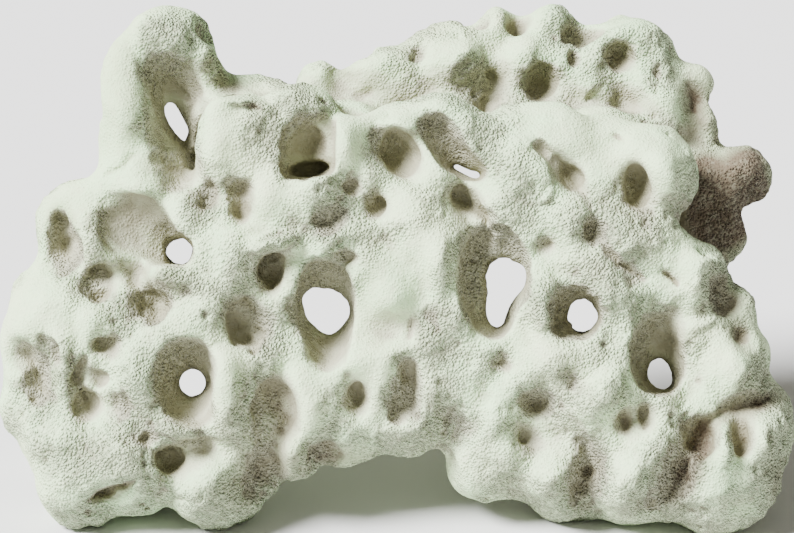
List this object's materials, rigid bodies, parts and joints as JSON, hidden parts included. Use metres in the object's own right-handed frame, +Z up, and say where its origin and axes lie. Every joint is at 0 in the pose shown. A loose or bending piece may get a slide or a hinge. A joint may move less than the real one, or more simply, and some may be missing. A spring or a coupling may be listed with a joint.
{
  "type": "holey rock",
  "caption": "Pale, water-worn limestone rock riddled with holes and pits, standing on broad feet with a low arch and a cave behind its front wall.",
  "frame": {"origin": "on the ground, under the middle of the rock's outline as seen from above", "axes": "+X along the rock's length, to the right as the picture shows it; +Y away from the viewer, towards the cave at the back; +Z up"},
  "size_m": [0.391, 0.2032, 0.2399],
  "materials": {
    "chalk": "matte chalky stone, pale green-white, with olive and brown stain in its pits"
  },
  "bodies": {
    "root": {"rock": "chalk"}
  },
  "joints": []
}
